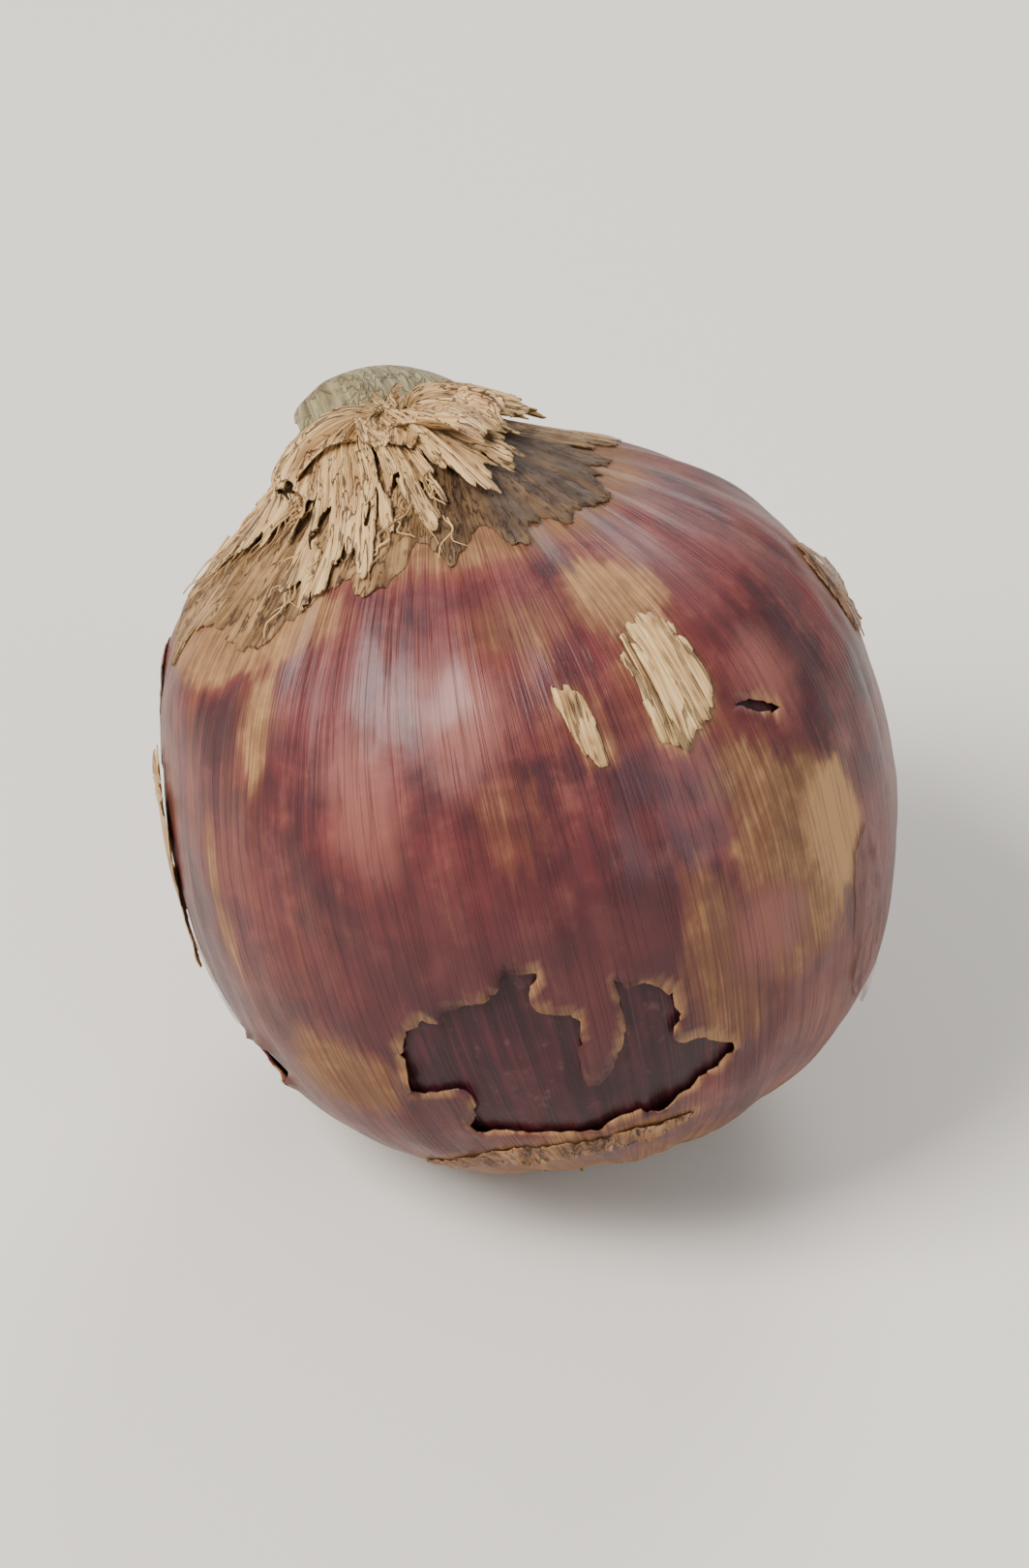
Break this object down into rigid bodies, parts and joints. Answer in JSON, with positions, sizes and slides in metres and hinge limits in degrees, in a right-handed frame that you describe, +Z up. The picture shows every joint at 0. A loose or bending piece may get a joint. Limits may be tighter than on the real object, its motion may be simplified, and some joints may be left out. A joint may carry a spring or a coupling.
{
  "type": "shallot",
  "caption": "Round dry shallot bulb with a torn mauve papery skin, a short frayed straw-coloured neck and a tuft of dry roots, resting on a small flat spot.",
  "frame": {"origin": "middle of the small flat spot that the shallot rests on", "axes": "+Z up from the resting surface; -Y towards the side with the torn skin; the neck leans 22 degrees back and to the left, towards azimuth 128"},
  "size_m": [0.0446, 0.0418, 0.045],
  "materials": {
    "mauve_skin": "thin pearly dry skin over purple flesh",
    "dry_straw": "dry papery fibres",
    "dry_root": "dry wiry rootlets"
  },
  "bodies": {
    "root": {"bulb": "mauve_skin", "dry_neck": "dry_straw", "root_tuft": "dry_root"}
  },
  "joints": []
}
